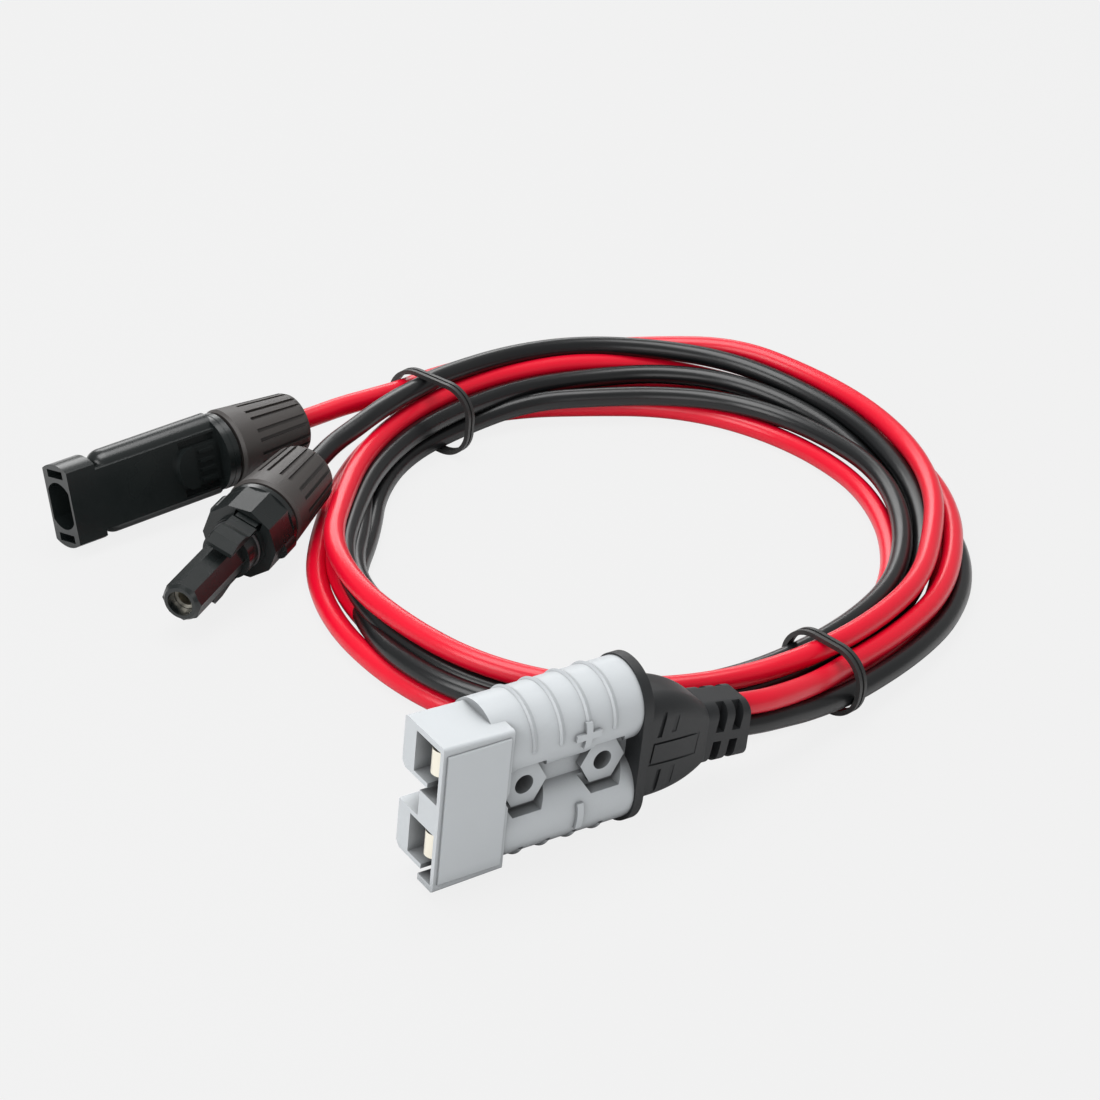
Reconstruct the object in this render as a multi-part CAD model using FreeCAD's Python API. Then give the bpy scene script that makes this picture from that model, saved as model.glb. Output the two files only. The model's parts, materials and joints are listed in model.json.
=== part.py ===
"""Solar cable connector set.

A two-pole battery connector in a rear boot, standing on its narrow edge, with a red
and a black cable wound into one oval coil, two soft ties round the coil, and a
single-pole solar plug on each cable's far end.

Frame: +Z up, +X along the connector from its mating face to its cable outlet,
origin at the bottom centre of the connector (housing and boot).  Millimetres.
"""
import FreeCAD, Part
import math
import os

V = FreeCAD.Vector

# ---------------------------------------------------------------- driving sizes
# connector
CONN_LEN = 79.0          # mating face to the end of the strain relief
HOUSING_LEN = 47.8       # moulded housing
BODY_H = 36.6            # over both barrels
BARREL_R = 8.6           # each round barrel
FLANGE_LIP = 0.9         # boot flange stands below the barrels by this
FLANGE_SIDE = 0.35       # and proud of them at the sides and top
PLATE_H = 33.3           # hood plate, top to bottom
PLATE_LEN = 16.2
PLATE_Y = -9.1           # outer face of the hood plate
TONGUE_Y = 4.75          # outer face of the contact bays, away from the plate
WALL = 1.1               # thin walls of the mating end
FAR_WALL = 4.2           # thick wall behind each contact bay
MOUNT_GAP = 18.8         # between the two fixing holes
MOUNT_R = 2.15
RIB_PITCH = 6.4          # grip ribs on the barrels
# cable
CABLE_D = 5.0
CORE_R = 1.45            # bare conductor
# solar plugs
NUT_R = 9.6
NUT_LEN = 21.8
SPIGOT_R = 7.2
THREAD_GAP = 0.1
PIN_R = 2.0

X_MATE = -CONN_LEN / 2
X_END = CONN_LEN / 2
X_REAR = X_MATE + HOUSING_LEN
ZC = BODY_H / 2 + FLANGE_LIP               # centre height of the connector
BARREL_Z = BODY_H / 2 - BARREL_R           # barrel centres above and below ZC
R_CABLE = CABLE_D / 2
POLES = {"positive": 1, "negative": -1}

# contact bays: (bottom, top) of each mouth, and the open gaps between them
BAY = {"positive": (ZC + 6.3, ZC + 15.55), "negative": (ZC - 12.8, ZC - 3.8)}
GAPS = [(ZC + 3.35, ZC + 5.2), (ZC - 15.45, ZC - 13.9)]
BAY_NEAR = PLATE_Y + WALL
CONTACT_UP = 0.9                           # contacts sit above the middle of their bays
BAY_FAR = TONGUE_Y - FAR_WALL
BAY_DEPTH = 8.0                            # length of the open mating gaps

SOCKET_ROLL = 18.0                        # turns one latch arm towards the open side
# plugs: front centre, rear centre of the nut, roll about the axis
PIN_PLUG = {"front": V(-44.1, 145.3, 10.2), "rear": V(22.3, 154.3, 13.0), "roll": -17.0}
SOCKET_PLUG = {"front": V(-38.5, 97.7, 8.9), "rear": V(12.4, 131.5, 13.0), "roll": SOCKET_ROLL}

# coil: an oval ring seen from above
COIL_C = (74.6, 82.7)
COIL_A = 83.6
COIL_B = 67.5
COIL_TURN = 35.0                           # direction of the long axis, degrees
# outline of the bundle, outer half (distance out from the middle, height):
# full side with eight strands, thin side with six
FULL = [(10.2, 0.0), (12.2, 2.2), (11.8, 8.0), (8.8, 13.4), (3.6, 16.4)]
THIN = [(6.6, 0.0), (8.0, 2.0), (7.8, 4.6), (5.2, 9.6), (2.0, 13.2)]
FULL_FROM, FULL_TO = -119.0, 70.0          # stretch of the oval with eight strands
FADE = 16.0                                # degrees over which strands join or leave
# ties: angle on the oval, offset outward, half width, half height
TIES = {"tie_right": (-119.0, -1.4, 11.3, 8.5), "tie_left": (71.0, 0.7, 12.8, 9.6)}
TIE_W = 2.4
TIE_T = 1.1

# the boot droops towards its outlet: (x, drop of its middle, half height, half width)
BOOT_BODY = [(10.3, 0.9, 12.5, 7.7), (16.0, 1.5, 12.2, 7.4), (24.0, 2.7, 10.0, 6.4),
             (28.2, 3.5, 7.4, 5.6)]
RELIEF = [(28.0, 3.4, 7.3, 5.5), (X_END, 5.0, 6.8, 5.4)]
LEAD_MID = 15.0          # height of the middle between the two cables at the outlet
LEAD_Z = 2.65            # each cable lies this far above or below that middle
LEAD_DIP = 0.18          # the cables head down by this much per mm
# cable routes outside the coil, points chosen along each lead
RED_LEAD = [V(X_END, 0, LEAD_MID + LEAD_Z), V(46.0, 0, LEAD_MID + LEAD_Z - 6.5 * LEAD_DIP),
            V(60.5, 3.6, 13.2), V(79.6, 11.0, 9.3)]
BLACK_LEAD = [V(X_END, 0, LEAD_MID - LEAD_Z), V(46.0, 0, LEAD_MID - LEAD_Z - 6.5 * LEAD_DIP),
              V(61.5, 2.2, 8.0), V(80.7, 6.6, 5.5)]
TAIL_RUN = 15.0                            # straight out of each plug first
RED_TAIL_IN = [V(56.0, 158.6, 13.2), V(65.0, 161.8, 12.4)]
BLACK_TAIL_IN = [V(41.0, 146.4, 16.0), V(58.7, 154.5, 15.3), V(66.0, 157.4, 14.6)]


# ---------------------------------------------------------------- small helpers
def box(x0, x1, y0, y1, z0, z1):
    return Part.makeBox(x1 - x0, y1 - y0, z1 - z0, V(x0, y0, z0))


def rod(x0, x1, r, y=0.0, z=0.0):
    """A round bar along X."""
    return Part.makeCylinder(r, x1 - x0, V(x0, y, z), V(1, 0, 0))


def tube(x0, x1, r_out, r_in, y=0.0, z=0.0):
    return rod(x0, x1, r_out, y, z).cut(rod(x0 - 1, x1 + 1, r_in, y, z))


def cone(x0, x1, r0, r1):
    return Part.makeCone(r0, r1, x1 - x0, V(x0, 0, 0), V(1, 0, 0))


def join(shapes):
    shapes = list(shapes)
    out = shapes[0]
    if len(shapes) > 1:
        out = out.fuse(shapes[1:])
    return out.removeSplitter()


def frame_wire(x, hy, hz, r, y=0.0, z=0.0):
    """A rounded rectangle across X: half width hy, half height hz, corner r."""
    r = min(r, hy - 0.01, hz - 0.01)
    k = r * (1 - math.sqrt(0.5))
    edges = []
    corners = [(1, 1), (-1, 1), (-1, -1), (1, -1)]
    for i, (a, b) in enumerate(corners):
        cy, cz = y + a * hy, z + b * hz
        if i % 2 == 0:
            p = V(x, cy, cz - b * r)
            q = V(x, cy - a * r, cz)
        else:
            p = V(x, cy - a * r, cz)
            q = V(x, cy, cz - b * r)
        mid = V(x, cy - a * k, cz - b * k)
        edges.append((p, mid, q))
    out = []
    for i, (p, mid, q) in enumerate(edges):
        out.append(Part.Arc(p, mid, q).toShape())
        nxt = edges[(i + 1) % 4][0]
        out.append(Part.LineSegment(q, nxt).toShape())
    return Part.Wire(out)


def loft(wires, ruled=False):
    return Part.makeLoft(wires, True, ruled)


def bar(x0, x1, hy, hz, r, y=0.0, z=0.0):
    """A straight bar along X with a rounded rectangular section."""
    return loft([frame_wire(x0, hy, hz, r, y, z), frame_wire(x1, hy, hz, r, y, z)], True)


def prism(x0, x1, sides, flat_r, turn=0.0):
    """A regular prism along X; flat_r is the distance from the axis to each flat."""
    r = flat_r / math.cos(math.pi / sides)
    pts = []
    for i in range(sides + 1):
        a = 2 * math.pi * i / sides + math.radians(turn)
        pts.append(V(x0, r * math.cos(a), r * math.sin(a)))
    face = Part.Face(Part.makePolygon(pts))
    return face.extrude(V(x1 - x0, 0, 0))


def hex_boss(x, z, flat_r, y0, y1):
    pts = []
    for i in range(7):
        a = math.radians(60 * i)
        r = flat_r / math.cos(math.radians(30))
        pts.append(V(x + r * math.cos(a), y0, z + r * math.sin(a)))
    return Part.Face(Part.makePolygon(pts)).extrude(V(0, y1 - y0, 0))


def cable_wire(points):
    """Straight runs joined by tangent arcs, each as large as its two runs allow."""
    edges, radii = [], []
    here = points[0]
    for i in range(1, len(points) - 1):
        a, p, b = points[i - 1], points[i], points[i + 1]
        u, w = (a - p), (b - p)
        run = min(u.Length, w.Length)
        u.normalize()
        w.normalize()
        turn = math.pi - math.acos(max(-1, min(1, u.dot(w))))
        back = 0.45 * run
        r = back / math.tan(turn / 2)
        radii.append(r)
        s, e = p + u * back, p + w * back
        bis = u + w
        bis.normalize()
        centre = p + bis * math.sqrt(r * r + back * back)
        mid = centre - bis * r
        edges.append(Part.LineSegment(here, s).toShape())
        edges.append(Part.Arc(s, mid, e).toShape())
        here = e
    edges.append(Part.LineSegment(here, points[-1]).toShape())
    return Part.Wire(edges), radii


def cable(name, points, r=R_CABLE):
    path, radii = cable_wire(points)
    start = points[0]
    d = points[1] - points[0]
    ring = Part.Wire(Part.Circle(start, d, r).toShape())
    solid = path.makePipeShell([ring], True, False)
    want = math.pi * r * r * path.Length
    text = ", ".join("%.0f" % q for q in radii)
    print("%s: length %.1f mm, radii [%s], volume/section ratio %.4f"
          % (name, path.Length, text, solid.Volume / want))
    return solid


# ---------------------------------------------------------------- the connector
def pole_z(pole):
    return ZC + POLES[pole] * BARREL_Z


def barrels(x0, x1, r):
    return join([rod(x0, x1, r, 0, pole_z(p)) for p in POLES])


def connector_housing():
    """One moulding: hood plate and contact bays in front, two round barrels behind."""
    x_barrel = X_MATE + 13.0
    x_plate = X_MATE + PLATE_LEN
    web = box(x_barrel, X_REAR, -4.0, 4.0, ZC - BARREL_Z, ZC + BARREL_Z)
    mid_y = (PLATE_Y + TONGUE_Y) / 2
    half_y = (TONGUE_Y - PLATE_Y) / 2
    front = loft([frame_wire(X_MATE, half_y, PLATE_H / 2 + 0.25, 0.7, mid_y, ZC),
                  frame_wire(x_plate, half_y, PLATE_H / 2 - 0.25, 0.7, mid_y, ZC)], True)
    panel = bar(0, 14.4, 0.45, PLATE_H / 2 - 1.6, 0.4)
    panel.translate(V(X_MATE + 0.9, PLATE_Y, ZC))
    parts = [front, barrels(x_barrel, X_REAR, BARREL_R), web, panel]
    # grip ribs round the outer side of each barrel
    upper = join([box(-100, 100, -20, 0, pole_z("positive") - 0.3, ZC + 40),
                  box(-100, 100, 0, 20, ZC + 10.5, ZC + 40)])
    lower = box(-100, 100, -20, 20, ZC - 40, ZC - 14.2)
    for i in range(4):
        x = X_MATE + 21.0 + i * RIB_PITCH
        for p in POLES:
            foot, axis = V(x, 0, pole_z(p)), V(1, 0, 0)
            rise = Part.makeCone(BARREL_R + 0.05, BARREL_R + 0.5, 0.4, foot, axis)
            fall = Part.makeCone(BARREL_R + 0.5, BARREL_R + 0.05, 0.9, foot + axis * 0.4, axis)
            ring = rise.fuse(fall)
            parts.append(ring.common(upper if p == "positive" else lower))
    # polarity marks, raised on the near side of each barrel
    xm = X_MATE + 34.2
    mark_r = BARREL_R + 0.7
    for p in POLES:
        upright = box(xm - 0.75, xm + 0.75, -12, 0, pole_z(p) - 3.0, pole_z(p) + 3.0)
        bars = [upright]
        if p == "positive":
            bars.append(box(xm - 3.0, xm + 3.0, -12, 0, pole_z(p) - 0.75, pole_z(p) + 0.75))
        parts.append(join(bars).common(rod(xm - 4, xm + 4, mark_r, 0, pole_z(p))))
    solid = join(parts)
    # a hexagonal boss standing in a hexagonal pocket round each fixing hole
    holes = [X_MATE + 22.0, X_MATE + 22.0 + MOUNT_GAP]
    for side in (-1, 1):
        y0, y1 = sorted((side * 4.7, side * 12.0))
        solid = solid.cut([hex_boss(x, ZC, 5.9, y0, y1) for x in holes])
    solid = solid.fuse([hex_boss(x, ZC, 4.6, -5.8, 5.8) for x in holes])

    cuts = [Part.makeCylinder(MOUNT_R, 30, V(x, -15, ZC), V(0, 1, 0)) for x in holes]
    for p in POLES:
        lo, hi = BAY[p]
        zb = pole_z(p)
        cuts.append(rod(X_MATE + 15.5, X_REAR + 1, 5.6, 0, zb))
        cuts.append(box(X_MATE - 1, X_MATE + 16.0, BAY_NEAR, BAY_FAR, lo, hi))
        # step down from the bay to the barrel's bore
        cuts.append(box(X_MATE + 8.6, X_MATE + 18.0, -6.5, 1.2, zb - 3.0, hi - 0.6))
        # the thin lower wall of each bay stops short of the plate
        cuts.append(box(X_MATE - 1, X_MATE + BAY_DEPTH, BAY_NEAR, -4.4, lo - WALL, lo + 0.2))
    for lo, hi in GAPS:
        cuts.append(box(X_MATE - 1, X_MATE + BAY_DEPTH, BAY_NEAR, 10, lo, hi))
    # the lip under the lower gap is short, and the lower bay's outer wall stops lower
    cuts.append(box(X_MATE - 1, X_MATE + 12.5, -3.6, 10, ZC - 17.5, ZC - 15.4))
    cuts.append(box(X_MATE - 1, X_MATE + BAY_DEPTH, -2.0, 10, ZC - 2.7, ZC + 3.4))
    for p in POLES:
        lo, _ = BAY[p]
        corner = Part.makeBox(12.6, 1.6, 1.6, V(X_MATE - 0.1, 0, 0))
        corner.rotate(V(0, 0, 0), V(1, 0, 0), 45)
        corner.translate(V(0, TONGUE_Y, lo - WALL - 1.1))
        cuts.append(corner)
    solid = solid.cut(cuts).removeSplitter()
    return solid


def contact(pole):
    """Silver-plated blade, a stepped neck and a crimp barrel for the conductor."""
    lo, hi = BAY[pole]
    z = (lo + hi) / 2 + CONTACT_UP
    zb = pole_z(pole)
    y_blade = BAY_NEAR + 2.6
    crown_r = 2.2
    x0 = X_MATE + 0.2 + crown_r
    blade = bar(x0, X_MATE + 9.0, 1.0, 2.7, 0.3, y_blade, z)
    nose = Part.makeCylinder(crown_r, 5.6, V(x0, y_blade, z - 2.8), V(0, 0, 1))
    neck = loft([frame_wire(X_MATE + 9.0, 1.0, 2.7, 0.3, y_blade, z),
                 frame_wire(X_MATE + 16.5, 1.0, 2.5, 0.3, -1.0, zb)], True)
    strap = bar(X_MATE + 16.5, X_MATE + 24.0, 1.0, 2.5, 0.3, -1.0, zb)
    barrel = rod(X_MATE + 23.5, X_MATE + 41.0, 3.6, 0, zb)
    solid = join([blade, nose, neck, strap, barrel])
    return solid.cut(rod(X_MATE + 28.0, X_MATE + 42.0, CORE_R + 0.5, 0, zb))


def contact_spring(pole):
    """Thin leaf between the hood plate and the blade."""
    lo, hi = BAY[pole]
    z = (lo + hi) / 2 + CONTACT_UP
    y = BAY_NEAR + 0.05
    a, m, b = V(X_MATE + 2.5, y, 0), V(X_MATE + 5.6, y + 0.5, 0), V(X_MATE + 8.4, y, 0)
    up = V(0, 0.25, 0)
    edges = [Part.Arc(a, m, b).toShape(), Part.LineSegment(b, b + up).toShape(),
             Part.Arc(b + up, m + up, a + up).toShape(), Part.LineSegment(a + up, a).toShape()]
    leaf = Part.Face(Part.Wire(edges)).extrude(V(0, 0, 4.4))
    leaf.translate(V(0, 0, z - 2.2))
    return leaf


def lead_in(pole):
    """Insulated cable inside the boot, from the outlet to the back of the barrel."""
    s = POLES[pole]
    z = LEAD_MID + s * LEAD_Z
    pts = [V(X_END, 0, z), V(X_END - 11, 0, z + 11 * LEAD_DIP),
           V(X_REAR - 0.3, 0, pole_z(pole)), V(X_MATE + 43.0, 0, pole_z(pole))]
    return pts


def mould_block():
    """Stiff block moulded round the two cables before the boot goes on."""
    return loft([frame_wire(X_REAR + 1.0, 4.6, 11.0, 2.0, 0, ZC - 0.9),
                 frame_wire(X_REAR + 7.0, 4.6, 10.4, 2.0, 0, ZC - 1.4),
                 frame_wire(X_REAR + 16.7, 4.2, 7.8, 2.0, 0, ZC - 2.9)], True)


def boot_sections(table, corner):
    return [frame_wire(x, hy, hz, min(corner, 0.6 * hy), 0, ZC - drop)
            for x, drop, hz, hy in table]


def rear_boot(wires):
    """Flexible boot: a flange over the barrels, a drooping body and a slotted relief."""
    x_f = X_REAR
    x_b = X_REAR + 2.2
    flange_h = BODY_H / 2 + (FLANGE_LIP + FLANGE_SIDE) / 2
    flange = bar(x_f, x_b, BARREL_R + FLANGE_SIDE, flange_h, BARREL_R + FLANGE_SIDE - 0.2,
                 0, ZC - (FLANGE_LIP - FLANGE_SIDE) / 2)
    body = loft(boot_sections(BOOT_BODY, 4.6))
    relief = loft(boot_sections(RELIEF, 3.0), True)
    solid = join([flange, body, relief])
    hull = box(x_f - 1, X_REAR, -4.0, 4.0, ZC - BARREL_Z, ZC + BARREL_Z)
    cuts = [barrels(x_f - 1, X_REAR, BARREL_R + 0.02), hull, mould_block()]
    cuts += wires
    # ring slots of the strain relief, on both broad sides, above and below the middle
    (xa, da, _, _), (xe, de, _, _) = RELIEF
    dip = math.degrees(math.atan2(de - da, xe - xa))
    for x in (X_END - 9.2, X_END - 4.9):
        drop = da + (de - da) * (x + 1.1 - xa) / (xe - xa)
        for s in POLES.values():
            for side in (-1, 1):
                y0, y1 = sorted((side * 2.9, side * 7.0))
                z0, z1 = sorted((s * 1.1, s * 9.0))
                slot = box(-1.1, 1.1, y0, y1, z0, z1)
                slot.rotate(V(0, 0, 0), V(0, 1, 0), dip)
                slot.translate(V(x + 1.1, 0, ZC - drop))
                cuts.append(slot)
    # slanting grip grooves and a plain frame on each broad side
    for side in (-1, 1):
        for s in POLES.values():
            for x in (X_REAR + 6.1, X_REAR + 9.9):
                slot = bar(-0.6, 0.6, 0.9, 2.9, 0.5)
                slot.rotate(V(0, 0, 0), V(0, 1, 0), 10)
                slot.translate(V(x, side * 7.9, ZC - 1.5 + s * 6.9))
                cuts.append(slot)
        frame = bar(-6.6, 6.6, 0.4, 2.7, 0.3).cut(bar(-6.1, 6.1, 1.0, 2.2, 0.9))
        frame.rotate(V(0, 0, 0), V(0, 1, 0), 7.4)
        frame.rotate(V(0, 0, 0), V(0, 0, 1), -side * 5.3)
        frame.translate(V(X_REAR + 10.4, side * 7.12, ZC - 2.0))
        cuts.append(frame)
    return solid.cut(cuts).removeSplitter()


# ---------------------------------------------------------------- the solar plugs
def gland_spigot(xf):
    """Flange and threaded tail of a plug body, bored for the cable seal."""
    return join([rod(xf - 1.4, xf, NUT_R - 0.3), rod(xf - 0.5, xf + 12.4, SPIGOT_R)])


def gland_bores(xf):
    return [rod(xf + 0.4, xf + 13, 5.6)]


def gland_nut(xf):
    """Tapered fluted nut that closes the gland on the cable."""
    x0, x1 = xf + 1.0, xf + 1.0 + NUT_LEN
    r1 = NUT_R - 1.5
    shell = join([cone(x0, x0 + 0.8, NUT_R - 0.5, NUT_R), cone(x0 + 0.8, x1 - 2.0, NUT_R, r1),
                  cone(x1 - 2.0, x1 - 0.7, r1, r1 - 0.6), cone(x1 - 0.7, x1, r1 - 0.6, r1 - 1.7)])
    cuts = [rod(x0 - 1, xf + 13.0, SPIGOT_R + THREAD_GAP),
            cone(xf + 12.9, xf + 17.6, SPIGOT_R + THREAD_GAP, 4.4),
            rod(xf + 17.0, x1 + 1, R_CABLE + 0.35)]
    count = 10
    for i in range(count):
        a = 360.0 * i / count
        for off in (-7.5, 7.5):
            groove = box(x0 + 5.0, x1 + 1, -0.45, 0.45, 0, 3)
            groove.translate(V(0, 0, NUT_R - 0.75))
            groove.rotate(V(x0, 0, 0), V(0, 1, 0), 3.7)
            groove.rotate(V(0, 0, 0), V(1, 0, 0), a + off)
            cuts.append(groove)
    return shell.cut(cuts).removeSplitter()


def gland_seal(xf):
    ribs = [tube(xf + 2.0, xf + 11.4, 5.1, R_CABLE)]
    ribs += [tube(xf + 2.8 + 2.6 * i, xf + 3.8 + 2.6 * i, 5.55, R_CABLE) for i in range(4)]
    return join(ribs)


def clamp_ring(xf):
    """Slotted ring whose fingers the nut squeezes onto the cable."""
    ring = join([tube(xf + 12.6, xf + 14.2, 6.2, R_CABLE + 0.05),
                 cone(xf + 14.0, xf + 17.0, 5.9, 4.5).cut(rod(xf, xf + 20, R_CABLE + 0.05))])
    cuts = []
    for i in range(6):
        slot = box(xf + 14.3, xf + 18, -0.4, 0.4, 0, 8)
        slot.rotate(V(0, 0, 0), V(1, 0, 0), 60 * i)
        cuts.append(slot)
    return ring.cut(cuts)


def gland_ring(xf):
    return Part.makeTorus(SPIGOT_R + 0.62, 0.45, V(xf + 0.5, 0, 0), V(1, 0, 0))


def plug_cable(xf):
    return rod(xf + 3.0, xf + 1.0 + NUT_LEN, R_CABLE)


def plug_core(x0, xf):
    return rod(x0, xf + 3.0, CORE_R)


PIN_XF = 44.3
SOCKET_XF = 38.3
LATCH_X, LATCH_R = 25.6, 7.05      # hinge line of each latch arm


HEAD_R = 10.1            # round ends of the wide plug's head
HEAD_FLAT = 5.2          # its flat sides
RAIL_R = 4.0


def flatted(x0, x1, r, half_y, half_z=20.0):
    """A round bar along X with two flat sides."""
    return rod(x0, x1, r).common(box(x0 - 1, x1 + 1, -half_y, half_y, -half_z, half_z))


def grip_pad(side, xf):
    """Crescent ridge with a low ribbed field behind it, on one flat side."""
    y0, y1 = sorted((side * (HEAD_FLAT - 0.3), side * (HEAD_FLAT + 1.5)))
    moon = Part.makeCylinder(5.7, y1 - y0, V(xf - 9.9, y0, 0), V(0, 1, 0))
    moon = moon.common(box(xf - 16, xf - 10.6, -9, 9, -6, 6))
    y2, y3 = sorted((side * (HEAD_FLAT - 0.3), side * (HEAD_FLAT + 0.5)))
    y4, y5 = sorted((side * HEAD_FLAT, side * (HEAD_FLAT + 1.0)))
    parts = [moon, box(xf - 11, xf - 3.9, y2, y3, -4.8, 4.4)]
    for i in range(4):
        z = -3.7 + 2.3 * i
        parts.append(box(xf - 9.2, xf - 5.0, y4, y5, z - 0.35, z + 0.35))
    return parts


def pin_plug_body():
    """Wide-mouthed plug body: flat-sided head, two round rails, grip pads."""
    xf = PIN_XF
    parts = [flatted(0, 7.6, HEAD_R, HEAD_FLAT),
             flatted(7.0, xf - 2.4, HEAD_R, HEAD_FLAT, 7.3)]
    for s in (1, -1):
        z = s * (HEAD_R - RAIL_R)
        rail = rod(12.6, xf - 2.6, RAIL_R, 0, z)
        tip = Part.makeSphere(RAIL_R, V(12.6, 0, z))
        parts += [rail, tip.cut(box(0, 9.2, -9, 9, -12, 12))]
        parts += grip_pad(s, xf)
    parts += [rod(xf - 3.0, xf - 1.2, 9.2), gland_spigot(xf)]
    solid = join(parts)
    cuts = [flatted(-1, 26.0, 5.7, 4.4), rod(25, xf + 1, 3.1)] + gland_bores(xf)
    for s in (1, -1):
        z0, z1 = sorted((s * 6.8, s * 8.7))
        cuts.append(box(-1, 8.6, -3.2, 3.2, z0, z1))
        # open windows between each rail and the pads
        z0, z1 = sorted((s * 4.9, s * 6.7))
        for side in (1, -1):
            y0, y1 = sorted((side * 4.0, side * 8.0))
            cuts.append(box(xf - 14.0, xf - 3.9, y0, y1, z0, z1))
    return solid.cut(cuts).removeSplitter()


def pin_contact():
    solid = join([rod(10.5, 28.0, PIN_R), Part.makeSphere(PIN_R, V(10.5, 0, 0)),
                  rod(28.0, 36.0, 3.05), cone(27.0, 28.0, PIN_R, 2.6), rod(36.0, 45.9, 2.6)])
    return solid.cut(rod(38.0, 48.0, CORE_R))


def socket_plug_body():
    """Narrow-nosed plug body: eight-sided nose, shoulder, faceted trunk with wings."""
    xf = SOCKET_XF
    nose = join([prism(0.9, 25.5, 8, 4.5, 22.5), cone(0, 0.9, 3.9, 4.6).common(prism(-1, 2, 8, 4.5, 22.5))])
    parts = [nose, rod(21.5, 25.6, 6.0), rod(25.4, 26.8, 5.22), rod(26.6, 28.2, 6.6),
             prism(27.8, xf - 1.2, 10, 8.9, 18.0), gland_spigot(xf)]
    for s in (1, -1):
        parts.append(rod(xf - 6.0, xf - 1.3, 2.4, s * 7.9, 0))
    solid = join(parts)
    cuts = [rod(-1, 39.0, 3.05)] + gland_bores(xf)
    roots = []
    for s in (1, -1):
        # a slot under the front edge of the trunk takes the root of each latch arm
        z0, z1 = sorted((s * 5.7, s * 7.9))
        cuts.append(box(27.7, 31.4, -3.5, 3.5, z0, z1))
        z0, z1 = sorted((s * 6.5, s * 7.6))
        z2, z3 = sorted((s * 5.4, s * 7.6))
        roots.append(join([box(26.2, 29.2, -2.7, 2.7, z0, z1), box(26.7, 29.2, -2.7, 2.7, z2, z3)]))
    return join([solid.cut(cuts)] + roots)


def latch_arm(side):
    """Springy arm beside the nose: a wedge tooth in front, a round knuckle behind."""
    s = 1 if side == "upper" else -1
    half = 3.2
    prof = [(14.0, 6.5), (14.0, 7.5), (16.0, 9.4), (19.4, 9.4), (22.4, 7.6), (LATCH_X, 7.6),
            (LATCH_X, 6.5), (14.0, 6.5)]
    arm = Part.Face(Part.makePolygon([V(x, -half, s * z) for x, z in prof]))
    arm = arm.extrude(V(0, 2 * half, 0))
    knuckle = Part.makeCylinder(0.55, 2 * half, V(LATCH_X, -half, s * LATCH_R), V(0, 1, 0))
    return join([arm, knuckle])


def socket_contact():
    solid = join([rod(3.0, 24.0, 2.95), rod(24.0, 30.0, 2.7), rod(30.0, 40.0, 2.6)])
    return solid.cut([rod(2, 22.0, PIN_R + 0.06), rod(8.0, 14.0, 2.55), rod(31.0, 41.0, CORE_R)])


def socket_spring():
    """Ribbed band inside the socket that grips the mating pin."""
    band = tube(8.1, 13.9, 2.5, 2.2)
    cuts = []
    for i in range(8):
        slot = box(9.0, 13.0, -0.15, 0.15, 1.5, 3)
        slot.rotate(V(0, 0, 0), V(1, 0, 0), 45 * i)
        cuts.append(slot)
    return band.cut(cuts)


def nose_ring():
    return Part.makeTorus(5.74, 0.48, V(26.1, 0, 0), V(1, 0, 0))


def plug_placement(plug):
    """Local +X runs from the plug's front face to its nut, then the plug is rolled."""
    ex = plug["rear"] - plug["front"]
    length = ex.Length
    ex.normalize()
    up = V(0, 0, 1) - ex * ex.z
    up.normalize()
    side = up.cross(ex)
    c, s = math.cos(math.radians(plug["roll"])), math.sin(math.radians(plug["roll"]))
    ey = side * c + up * s
    ez = up * c - side * s
    o = plug["front"]
    m = FreeCAD.Matrix(ex.x, ey.x, ez.x, o.x, ex.y, ey.y, ez.y, o.y,
                       ex.z, ey.z, ez.z, o.z, 0, 0, 0, 1)
    return FreeCAD.Placement(m), ex, length


def placed(shape, placement):
    out = shape.copy()
    out.Placement = placement.multiply(out.Placement)
    return out


# ---------------------------------------------------------------- coil and ties
def oval(deg, out=0.0):
    """Point on the coil's oval at an angle, moved outward by out, and its tangent."""
    t, q = math.radians(deg), math.radians(COIL_TURN)
    ex, ey = COIL_A * math.cos(t), COIL_B * math.sin(t)
    dx, dy = -COIL_A * math.sin(t), COIL_B * math.cos(t)
    n = math.hypot(dx, dy)
    dx, dy = dx / n, dy / n
    ex, ey = ex + out * dy, ey - out * dx
    c, s = math.cos(q), math.sin(q)
    return (COIL_C[0] + ex * c - ey * s, COIL_C[1] + ex * s + ey * c), (dx * c - dy * s,
                                                                        dx * s + dy * c)


def bundle_wire(deg, thin, inward):
    """Outline of the cable bundle across the coil at an angle: wide below, round on top."""
    half = [(a[0] + thin * (b[0] - a[0]), a[1] + thin * (b[1] - a[1]))
            for a, b in zip(FULL, THIN)]
    pts = []
    for u, z in half + [(-u, z) for u, z in reversed(half)]:
        (x, y), _ = oval(deg, u - inward)
        pts.append(V(x, y, z))
    return Part.makePolygon(pts + [pts[0]])


def ramp(t):
    t = max(0.0, min(1.0, t))
    return t * t * (3 - 2 * t)


def thinness(deg):
    """0 on the full side of the coil, 1 on the thin side."""
    d = (deg - FULL_FROM) % 360.0
    span = FULL_TO - FULL_FROM
    if d < span:
        return 0.0
    return min(ramp((d - span) / FADE), ramp((360.0 - d) / FADE))


def tucked(deg):
    """The coil is pushed inward a little beside the boot and beside the socket plug."""
    def bump(centre, width):
        d = (deg - centre + 180.0) % 360.0 - 180.0
        return ramp(1.0 - abs(d) / width)
    return 3.0 * bump(-152.0, 42.0) + 2.2 * bump(104.0, 28.0)


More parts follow.
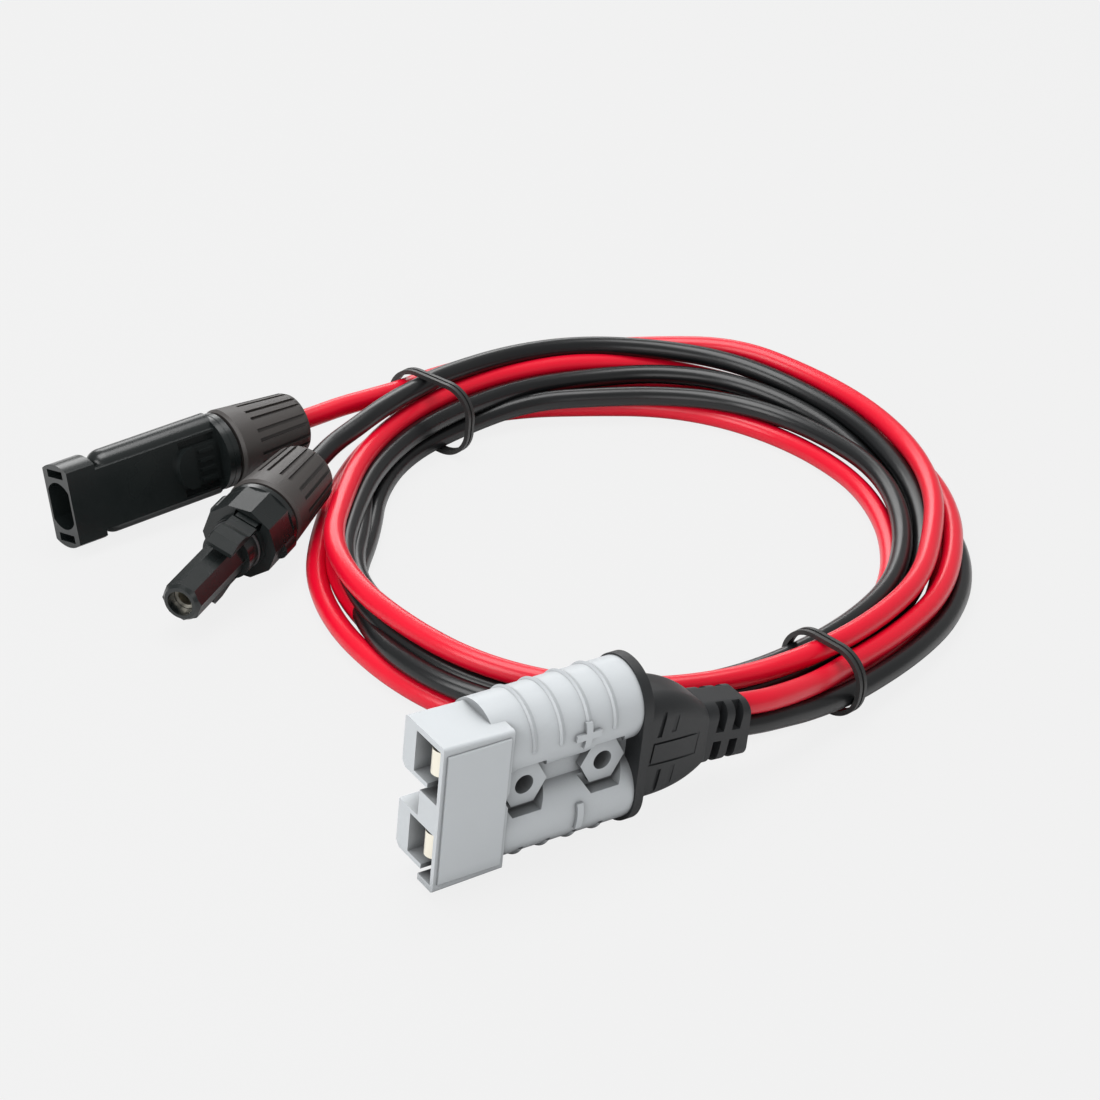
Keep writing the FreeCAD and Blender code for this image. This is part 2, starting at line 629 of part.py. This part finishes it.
def cable_coil():
    """One closed oval ring with the outer shape of the wound bundle."""
    step = 7.5
    rings = [bundle_wire(step * i, thinness(step * i), tucked(step * i))
             for i in range(int(360 / step))]
    rings.append(rings[0])
    shell = Part.makeLoft(rings, True, True)
    return shell


def tie(deg, offset, hw, hz):
    """Soft twin-bead tie looped round the bundle, across the cable's direction."""
    (x, y), (tx, ty) = oval(deg, offset)
    rings = []
    for k in (-1, 1):
        x0, x1 = k * TIE_W / 4 - TIE_W / 4, k * TIE_W / 4 + TIE_W / 4
        rings.append(bar(x0, x1, hw, hz, 8.0, 0, 0))
    outer = join(rings)
    inner = bar(-5, 5, hw - TIE_T, hz - TIE_T, 6.9, 0, 0)
    ring = outer.cut(inner)
    groove = bar(-0.3, 0.3, hw + 1, hz + 1, 8.0).cut(bar(-1, 1, hw - 0.3, hz - 0.3, 7.8))
    ring = ring.cut(groove)
    ring.rotate(V(0, 0, 0), V(0, 0, 1), math.degrees(math.atan2(ty, tx)))
    ring.translate(V(x, y, hz))
    return ring


# ---------------------------------------------------------------- build everything
def build():
    nodes = {}
    nodes["connector_housing"] = connector_housing()
    wires = []
    for pole, colour in (("positive", "red"), ("negative", "black")):
        nodes["contact_" + pole] = contact(pole)
        nodes["spring_" + pole] = contact_spring(pole)
        wire = cable(colour + "_lead_inside", lead_in(pole))
        nodes[colour + "_lead_inside"] = wire
        nodes[colour + "_core_main"] = rod(X_MATE + 29.0, X_MATE + 43.0, CORE_R, 0, pole_z(pole))
        wires.append(wire)
    nodes["boot_inner_mould"] = mould_block().cut(wires)
    nodes["red_lead"] = cable("red_lead", RED_LEAD)
    nodes["black_lead"] = cable("black_lead", BLACK_LEAD)
    nodes["rear_boot"] = rear_boot(wires + [nodes["red_lead"], nodes["black_lead"]])

    for name, plug, xf, local in (
            ("pin_plug", PIN_PLUG, PIN_XF,
             {"body": pin_plug_body, "pin": pin_contact}),
            ("socket_plug", SOCKET_PLUG, SOCKET_XF,
             {"body": socket_plug_body, "socket": socket_contact, "socket_spring": socket_spring,
              "nose_ring": nose_ring})):
        where, axis, length = plug_placement(plug)
        print("%s: length %.2f (nut ends at %.2f), axis %.5f %.5f %.5f"
              % (name, length, xf + 1.0 + NUT_LEN, axis.x, axis.y, axis.z))
        for key, make in local.items():
            nodes[name + "_" + key] = placed(make(), where)
        for key, make in (("nut", gland_nut), ("seal", gland_seal), ("clamp_ring", clamp_ring),
                          ("gland_ring", gland_ring), ("cable_end", plug_cable)):
            nodes[name + "_" + key] = placed(make(xf), where)
        nodes[name + "_core"] = placed(plug_core(38.5 if name == "pin_plug" else 31.5, xf), where)
        if name == "socket_plug":
            for side in ("upper", "lower"):
                nodes["latch_" + side] = placed(latch_arm(side), where)
                s = 1 if side == "upper" else -1
                p = where.multVec(V(LATCH_X, 0, s * LATCH_R))
                a = where.Rotation.multVec(V(0, 1, 0))
                print("latch_%s root %.3f %.3f %.3f axis %.5f %.5f %.5f"
                      % (side, p.x, p.y, p.z, a.x, a.y, a.z))
        plug["axis"] = axis
        plug["exit"] = where.multVec(V(xf + 1.0 + NUT_LEN, 0, 0))
        print(name, "cable leaves at", plug["exit"])

    for colour, plug, rest in (("red", PIN_PLUG, RED_TAIL_IN), ("black", SOCKET_PLUG, BLACK_TAIL_IN)):
        start = plug["exit"]
        pts = [start, start + plug["axis"] * TAIL_RUN] + rest
        nodes[colour + "_tail"] = cable(colour + "_tail", pts)
    nodes["cable_coil"] = cable_coil()
    for name, where in TIES.items():
        nodes[name] = tie(*where)
    return nodes


def main():
    os.makedirs("parts", exist_ok=True)
    for name, shape in build().items():
        solids = shape.Solids
        if len(solids) != 1 or not shape.isValid():
            print("CHECK %s: %d solids, valid %s" % (name, len(solids), shape.isValid()))
        shape.exportStep("parts/" + name + ".step")
        b = shape.BoundBox
        print("%-26s x %7.2f %7.2f  y %7.2f %7.2f  z %6.2f %6.2f  vol %8.1f"
              % (name, b.XMin, b.XMax, b.YMin, b.YMax, b.ZMin, b.ZMax, shape.Volume))


main()
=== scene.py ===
import json
import math

import bpy
from mathutils import Matrix, Vector


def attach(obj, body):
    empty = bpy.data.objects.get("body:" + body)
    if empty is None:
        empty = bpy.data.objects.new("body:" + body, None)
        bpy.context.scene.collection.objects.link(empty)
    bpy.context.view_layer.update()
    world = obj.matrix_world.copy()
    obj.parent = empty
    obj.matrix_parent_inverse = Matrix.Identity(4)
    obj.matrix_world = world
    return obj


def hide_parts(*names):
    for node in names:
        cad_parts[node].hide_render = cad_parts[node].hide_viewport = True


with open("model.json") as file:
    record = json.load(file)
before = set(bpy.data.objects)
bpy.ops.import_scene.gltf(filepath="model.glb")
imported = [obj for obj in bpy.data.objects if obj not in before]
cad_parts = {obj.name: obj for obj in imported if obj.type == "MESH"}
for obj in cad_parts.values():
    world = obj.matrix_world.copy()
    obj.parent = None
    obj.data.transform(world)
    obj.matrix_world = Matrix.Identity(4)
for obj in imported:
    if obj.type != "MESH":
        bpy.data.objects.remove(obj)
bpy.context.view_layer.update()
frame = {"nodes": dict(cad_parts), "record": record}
NODES = frame["nodes"]
MAIN = "connector_set"
MM = 0.001

# ------------------------------------------------------------------ camera
AZIMUTH, ELEVATION, ROLL = math.radians(-37.16), math.radians(30.0), math.radians(6.0)
SENSOR = 36.0
FOCAL = 2800.0 / 1100.0 * SENSOR
CAMERA_AT = (-0.2902, -0.3660, 0.33335)
CLIP_START = 0.01


def add_camera():
    a, e, r = AZIMUTH, ELEVATION, ROLL
    back = Vector((math.sin(a) * math.cos(e), -math.cos(a) * math.cos(e), math.sin(e)))
    right = Vector((math.cos(a), math.sin(a), 0))
    up = back.cross(right)
    right_r = right * math.cos(r) + up * math.sin(r)
    up_r = up * math.cos(r) - right * math.sin(r)
    m = Matrix((right_r, up_r, back)).transposed().to_4x4()
    m.translation = Vector(CAMERA_AT)
    data = bpy.data.cameras.new("camera")
    data.lens, data.sensor_width, data.clip_start = FOCAL, SENSOR, CLIP_START
    cam = bpy.data.objects.new("camera", data)
    cam.matrix_world = m
    bpy.context.scene.collection.objects.link(cam)
    bpy.context.scene.camera = cam


# ------------------------------------------------------------------ cords
CABLE_D = 5.0
CORD_STEPS, CORD_ROUND = 8, 6         # mesh steps along each span and round the sheath
COIL_C = (74.6, 82.7)                 # centre of the coil's oval, mm
COIL_A, COIL_B = 83.6, 67.5           # its half axes
COIL_TURN = math.radians(35)          # direction of the long axis
FIRST_DEG, LAST_DEG = -116.0, 66.0    # where the coil starts, and ends on its last pass
PASSES = 3                            # whole turns between those two
STEP = 15.0                           # degrees between route points
# Where each strand lies in the bundle at an angle on the oval: (mm outward from the
# bundle's middle, mm above the floor). r and k are red and black, the digit is the pass.
STATIONS = [
    (-116, {"r0": (1.0, 9.3), "k0": (5.5, 5.5), "r1": (-9.0, 4.6), "k1": (-8.6, 9.5),
            "r2": (0.6, 3.7), "k2": (-4.3, 3.7), "r3": (-2.4, 13.4), "k3": (-3.9, 8.8)}),
    (-70, {"r0": (7.4, 6.9), "k0": (10.8, 2.5), "r1": (-6.7, 2.5), "k1": (-4.7, 7.2),
           "r2": (5.6, 2.5), "k2": (-1.6, 2.5), "r3": (1.6, 10.4), "k3": (0.4, 5.6)}),
    (-45, {"r0": (11.8, 5.4), "k0": (8.4, 2.5), "r1": (-6.2, 2.5), "k1": (-2.6, 7.4),
           "r2": (5.6, 2.5), "k2": (0.6, 3.4), "r3": (7.8, 11.0), "k3": (4.0, 7.4)}),
    (-15, {"r0": (10.6, 3.4), "k0": (2.6, 2.5), "r1": (-8.0, 2.5), "k1": (-6.2, 7.4),
           "r2": (6.6, 5.0), "k2": (-0.2, 8.4), "r3": (9.6, 12.6), "k3": (4.4, 10.6)}),
    (0, {"r0": (10.5, 3.0), "r2": (6.8, 5.8), "k2": (0.9, 9.2), "r3": (12.0, 14.2),
         "k3": (6.2, 12.3)}),
    (12, {"r2": (7.6, 6.6), "k2": (0.9, 9.2), "k3": (6.6, 12.5)}),
    (31, {"r0": (3.6, 3.5), "k0": (-1.5, 2.5), "r1": (-6.6, 2.5), "k1": (-9.6, 6.9),
          "r2": (4.6, 10.2), "k2": (-0.6, 8.0), "r3": (12.0, 9.8), "k3": (8.0, 13.4)}),
    (52, {"r1": (-1.2, 2.5), "k1": (-4.6, 6.0), "k2": (-1.2, 8.4)}),
    (64, {"r1": (2.6, 3.0), "k1": (-2.4, 3.4)}),
    (71, {"r0": (8.6, 2.5), "k0": (4.0, 2.5), "r1": (6.4, 5.8), "k1": (-1.2, 2.6),
          "r2": (3.0, 10.6), "k2": (-2.2, 8.6), "r3": (9.3, 12.7), "k3": (4.8, 15.4)}),
    (82, {"r0": (7.6, 2.5), "k0": (3.6, 2.5), "r1": (6.4, 6.2), "k1": (-0.6, 2.5),
          "r2": (2.4, 11.0), "k2": (-1.4, 8.4)}),
    (110, {"r0": (0.0, 4.4), "k0": (-4.8, 4.8), "r1": (4.6, 2.5), "k1": (-7.0, 2.5),
           "r2": (0.3, 11.2), "k2": (-2.4, 7.6)}),
    (122, {"r0": (1.2, 4.4), "k0": (-3.0, 4.8), "r1": (5.4, 2.5), "k1": (-3.8, 2.5),
           "r2": (2.2, 12.0), "k2": (-0.6, 8.2)}),
    (163, {"r0": (-5.6, 2.9), "k0": (-8.4, 8.4), "r1": (2.9, 2.5), "k1": (2.3, 7.4),
           "r2": (-3.6, 11.9), "k2": (-2.5, 7.1)}),
    (208, {"r0": (-7.0, 2.7), "k0": (-9.5, 8.2), "r1": (0.0, 2.5), "k1": (-0.2, 7.4),
           "r2": (-5.0, 11.8), "k2": (-5.1, 7.1)}),
    (244, {"r0": (-9.0, 4.6), "k0": (-8.6, 9.5), "r1": (0.6, 3.7), "k1": (-4.3, 3.7),
           "r2": (-2.4, 13.4), "k2": (-3.9, 8.8)}),
]


def oval(deg, out):
    """Point on the coil's oval at an angle, moved outward."""
    t = math.radians(deg)
    ex, ey = COIL_A * math.cos(t), COIL_B * math.sin(t)
    dx, dy = -COIL_A * math.sin(t), COIL_B * math.cos(t)
    n = math.hypot(dx, dy)
    ex, ey = ex + out * dy / n, ey - out * dx / n
    c, s = math.cos(COIL_TURN), math.sin(COIL_TURN)
    return COIL_C[0] + ex * c - ey * s, COIL_C[1] + ex * s + ey * c


def lane(strand, deg):
    """Where a strand lies at an angle of one pass round the coil."""
    known = [(a, lanes[strand]) for a, lanes in STATIONS if strand in lanes]
    deg = min(max(deg, known[0][0]), known[-1][0])
    for (a, p), (b, q) in zip(known, known[1:]):
        if deg <= b:
            f = (deg - a) / (b - a)
            f = f * f * (3 - 2 * f)
            return p[0] + f * (q[0] - p[0]), p[1] + f * (q[1] - p[1])
    return known[-1][1]


def coil_points(colour):
    """All turns of one cable, from the right tie to the left tie on its last pass."""
    points = []
    deg = FIRST_DEG
    end = LAST_DEG + PASSES * 360.0
    while deg <= end + 0.1:
        turn = int((deg - FIRST_DEG) // 360.0)
        local = deg - 360.0 * turn
        u, z = lane(colour + str(turn), local)
        x, y = oval(local, u)
        points.append((x, y, z))
        deg += STEP if end - deg > STEP * 1.5 or end - deg < 0.1 else (end - deg)
    return points


# Routes outside the coil, mm: from the boot's outlet to the coil, and from it to the plugs.
RED_START = [(39.5, 0, 17.65), (46, 0, 16.48), (53, 1.4, 15.0), (60.5, 3.6, 13.2),
             (69.5, 6.9, 11.0)]
BLACK_START = [(39.5, 0, 12.35), (46, 0, 11.18), (54, 1.0, 9.8), (61.5, 2.4, 8.1),
               (70.5, 4.4, 6.6)]
RED_END = [(56.0, 158.6, 13.2), (46.5, 157.1, 13.6), (37.2, 156.32, 13.63),
           (30.0, 155.34, 13.32), (22.334, 154.305, 13.001)]
BLACK_END = [(58.7, 154.5, 15.3), (50.0, 150.7, 15.9), (41.0, 146.4, 16.0),
             (33.0, 142.9, 15.1), (24.75, 139.7, 13.99), (18.5, 135.55, 13.49),
             (12.286, 131.424, 12.991)]


def add_cord(name, points):
    curve = bpy.data.curves.new(name, "CURVE")
    curve.dimensions = "3D"
    spline = curve.splines.new("NURBS")
    spline.points.add(len(points) - 1)
    for p, q in zip(spline.points, points):
        p.co = (q[0] * MM, q[1] * MM, q[2] * MM, 1)
    spline.order_u = 3
    spline.use_endpoint_u = True
    curve.resolution_u = CORD_STEPS
    curve.bevel_depth = CABLE_D / 2 * MM
    curve.bevel_resolution = CORD_ROUND
    obj = bpy.data.objects.new(name, curve)
    bpy.context.scene.collection.objects.link(obj)
    return obj


# ------------------------------------------------------------------ materials
def nodes_of(name):
    mat = bpy.data.materials.new(name)
    mat.use_nodes = True
    tree = mat.node_tree
    return mat, tree, tree.nodes["Principled BSDF"]


BROAD_SCALE = 60.0                    # size of the slow changes in colour and gloss
GRAIN_DEPTH = 0.0001                  # metres
COAT_ROUGH = 0.2


def plastic(name, color, rough, coat=0.0, vary=0.1, grain=900.0, bump=0.05,
            rough_vary=0.08, spec=0.5):
    """Moulded or extruded plastic: uneven colour, uneven gloss and a fine surface grain."""
    mat, tree, bsdf = nodes_of(name)
    new, link = tree.nodes.new, tree.links.new
    coord = new("ShaderNodeTexCoord")
    fine, broad = new("ShaderNodeTexNoise"), new("ShaderNodeTexNoise")
    fine.inputs["Scale"].default_value = grain
    fine.inputs["Detail"].default_value = 4
    broad.inputs["Scale"].default_value = BROAD_SCALE
    broad.inputs["Detail"].default_value = 3
    for n in (fine, broad):
        link(coord.outputs["Object"], n.inputs["Vector"])
    mix = new("ShaderNodeMix")
    mix.data_type = "RGBA"
    dark = [c * (1 - vary) for c in color]
    light = [min(1, c * (1 + vary) + vary * 0.01) for c in color]
    mix.inputs["A"].default_value = (*dark, 1)
    mix.inputs["B"].default_value = (*light, 1)
    link(broad.outputs["Fac"], mix.inputs["Factor"])
    link(mix.outputs["Result"], bsdf.inputs["Base Color"])
    ramp = new("ShaderNodeMapRange")
    ramp.inputs["To Min"].default_value = max(0.02, rough - rough_vary)
    ramp.inputs["To Max"].default_value = min(1, rough + rough_vary)
    link(broad.outputs["Fac"], ramp.inputs["Value"])
    link(ramp.outputs["Result"], bsdf.inputs["Roughness"])
    relief = new("ShaderNodeBump")
    relief.inputs["Strength"].default_value = bump
    relief.inputs["Distance"].default_value = GRAIN_DEPTH
    link(fine.outputs["Fac"], relief.inputs["Height"])
    link(relief.outputs["Normal"], bsdf.inputs["Normal"])
    bsdf.inputs["Coat Weight"].default_value = coat
    bsdf.inputs["Coat Roughness"].default_value = COAT_ROUGH
    bsdf.inputs["Specular IOR Level"].default_value = spec
    return mat


HOLLOW_REACH, HOLLOW_POWER = 0.007, 1.3
HOLLOW_COLOR = (0.02, 0.02, 0.02, 1)


def shade_hollows(mat):
    """Darken deep pockets and narrow gaps, where little light comes back out."""
    tree = mat.node_tree
    bsdf = tree.nodes["Principled BSDF"]
    source = bsdf.inputs["Base Color"].links[0].from_socket
    ao, power = tree.nodes.new("ShaderNodeAmbientOcclusion"), tree.nodes.new("ShaderNodeMath")
    ao.inputs["Distance"].default_value = HOLLOW_REACH
    ao.samples = 8
    power.operation = "POWER"
    power.inputs[1].default_value = HOLLOW_POWER
    mix = tree.nodes.new("ShaderNodeMix")
    mix.data_type = "RGBA"
    mix.inputs["A"].default_value = HOLLOW_COLOR
    tree.links.new(ao.outputs["AO"], power.inputs[0])
    tree.links.new(power.outputs["Value"], mix.inputs["Factor"])
    tree.links.new(source, mix.inputs["B"])
    tree.links.new(mix.outputs["Result"], bsdf.inputs["Base Color"])


def metal(name, color, rough, grain=1500.0, bump=0.05):
    mat = plastic(name, color, rough, vary=0.06, grain=grain, bump=bump, rough_vary=0.06)
    mat.node_tree.nodes["Principled BSDF"].inputs["Metallic"].default_value = 1.0
    return mat


MATERIALS = {
    "cable_red": plastic("cable_red", (0.56, 0.001, 0.017), 0.32, coat=0.1, vary=0.05,
                         grain=1500, bump=0.06, spec=0.34),
    "cable_black": plastic("cable_black", (0.004, 0.0045, 0.005), 0.31, coat=0.1, vary=0.1,
                           grain=1500, bump=0.06, spec=0.36),
    "housing_grey": plastic("housing_grey", (0.40, 0.42, 0.435), 0.46, vary=0.03, grain=2600,
                            bump=0.16, spec=0.4),
    "boot_black": plastic("boot_black", (0.010, 0.011, 0.012), 0.5, vary=0.1, grain=2600,
                          bump=0.2, spec=0.4),
    "tie_black": plastic("tie_black", (0.015, 0.015, 0.015), 0.45, vary=0.1, grain=2000),
    "plug_body_black": plastic("plug_body_black", (0.006, 0.008, 0.008), 0.26, vary=0.1,
                               grain=1800, bump=0.05, coat=0.05, spec=0.42),
    "nut_black": plastic("nut_black", (0.034, 0.03, 0.028), 0.5, vary=0.12, grain=2400,
                         bump=0.22),
    "seal_rubber": plastic("seal_rubber", (0.03, 0.03, 0.032), 0.6, vary=0.1, grain=1500),
    "contact_silver": metal("contact_silver", (0.83, 0.79, 0.68), 0.3),
    "pin_tin": metal("pin_tin", (0.78, 0.78, 0.76), 0.25),
    "copper_strand": metal("copper_strand", (0.8, 0.48, 0.3), 0.35),
}
MATERIALS["cable_bundle"] = MATERIALS["cable_black"]
shade_hollows(MATERIALS["housing_grey"])


def dress_nodes():
    for part in frame["record"]["subparts"]:
        obj = NODES[part["node"]]
        mat = MATERIALS[part["material_slot"]]
        obj.data.materials.clear()
        obj.data.materials.append(mat)


# ------------------------------------------------------------------ studio
def add_area(name, place, width, height, watts):
    data = bpy.data.lights.new(name, "AREA")
    data.energy = watts
    data.shape, data.size, data.size_y = "RECTANGLE", width, height
    obj = bpy.data.objects.new(name, data)
    obj.location = place
    obj.rotation_euler = (Vector(place) - Vector(AIM)).to_track_quat("Z", "Y").to_euler()
    bpy.context.scene.collection.objects.link(obj)


FLOOR_SEEN = (0.875, 0.875, 0.875)    # its even colour
FLOOR_EVEN = 0.96                     # share of that colour against real shadows
FLOOR_DIFFUSE = 0.6                   # grey that it throws back on the object
FLOOR_Z = -0.00005
WORLD_LIGHT = 0.42
AIM = (0.04, 0.08, 0.01)
# name: (place, width, height, watts)
LAMPS = {
    "overhead": ((0.02, 0.22, 0.8), 0.75, 0.45, 7.2),
    "left": ((-0.75, -0.05, 0.45), 0.5, 0.5, 4.6),
    "back": ((0.35, 0.9, 0.42), 0.7, 0.35, 3.0),
    "front": ((-0.35, -0.6, 0.3), 0.6, 0.4, 2.2),
}


def floor_material():
    """Pale sweep: even to the eye with faint shadows, dimmer as a light source."""
    mat, tree, bsdf = nodes_of("floor")
    new, link = tree.nodes.new, tree.links.new
    path, glow = new("ShaderNodeLightPath"), new("ShaderNodeEmission")
    blend = new("ShaderNodeMixShader")
    share = new("ShaderNodeMath")
    share.operation = "MULTIPLY"
    share.inputs[1].default_value = FLOOR_EVEN
    link(path.outputs["Is Camera Ray"], share.inputs[0])
    bsdf.inputs["Base Color"].default_value = (FLOOR_DIFFUSE, FLOOR_DIFFUSE, FLOOR_DIFFUSE, 1)
    bsdf.inputs["Roughness"].default_value = 0.7
    bsdf.inputs["Specular IOR Level"].default_value = 0.0
    glow.inputs["Color"].default_value = (*FLOOR_SEEN, 1)
    out = tree.nodes["Material Output"]
    link(share.outputs["Value"], blend.inputs["Fac"])
    link(bsdf.outputs["BSDF"], blend.inputs[1])
    link(glow.outputs["Emission"], blend.inputs[2])
    link(blend.outputs["Shader"], out.inputs["Surface"])
    return mat


def add_studio():
    world = bpy.data.worlds.new("studio")
    world.use_nodes = True
    background = world.node_tree.nodes["Background"]
    background.inputs["Color"].default_value = (1, 1, 1, 1)
    background.inputs["Strength"].default_value = WORLD_LIGHT
    bpy.context.scene.world = world
    for name, (place, width, height, watts) in LAMPS.items():
        add_area(name, place, width, height, watts)
    bpy.ops.mesh.primitive_plane_add(size=8, location=(0, 0, FLOOR_Z))
    floor = bpy.context.object
    floor.name = "floor"
    floor.data.materials.append(floor_material())
    view = bpy.context.scene.view_settings
    view.view_transform = "Standard"
    view.look = "None"


# ------------------------------------------------------------------ build
add_camera()
red = add_cord("red_cable", RED_START + coil_points("r") + RED_END)
black = add_cord("black_cable", BLACK_START + coil_points("k") + BLACK_END)
dress_nodes()
for cord, colour, plug, mates, length, exit_point in (
        (red, "red", "pin_plug", (), 1.78, RED_START[0]),
        (black, "black", "socket_plug", ("latch_upper", "latch_lower"), 1.74, BLACK_START[0])):
    cord.data.materials.append(MATERIALS["cable_" + colour])
    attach(cord, MAIN)
    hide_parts(colour + "_lead", colour + "_tail", "cable_coil")
    on_it = [NODES[n] for n in sorted(NODES) if n.startswith(plug)] + [NODES[n] for n in mates]
    if colour == "red":
        on_it += [NODES["tie_left"], NODES["tie_right"]]
add_studio()
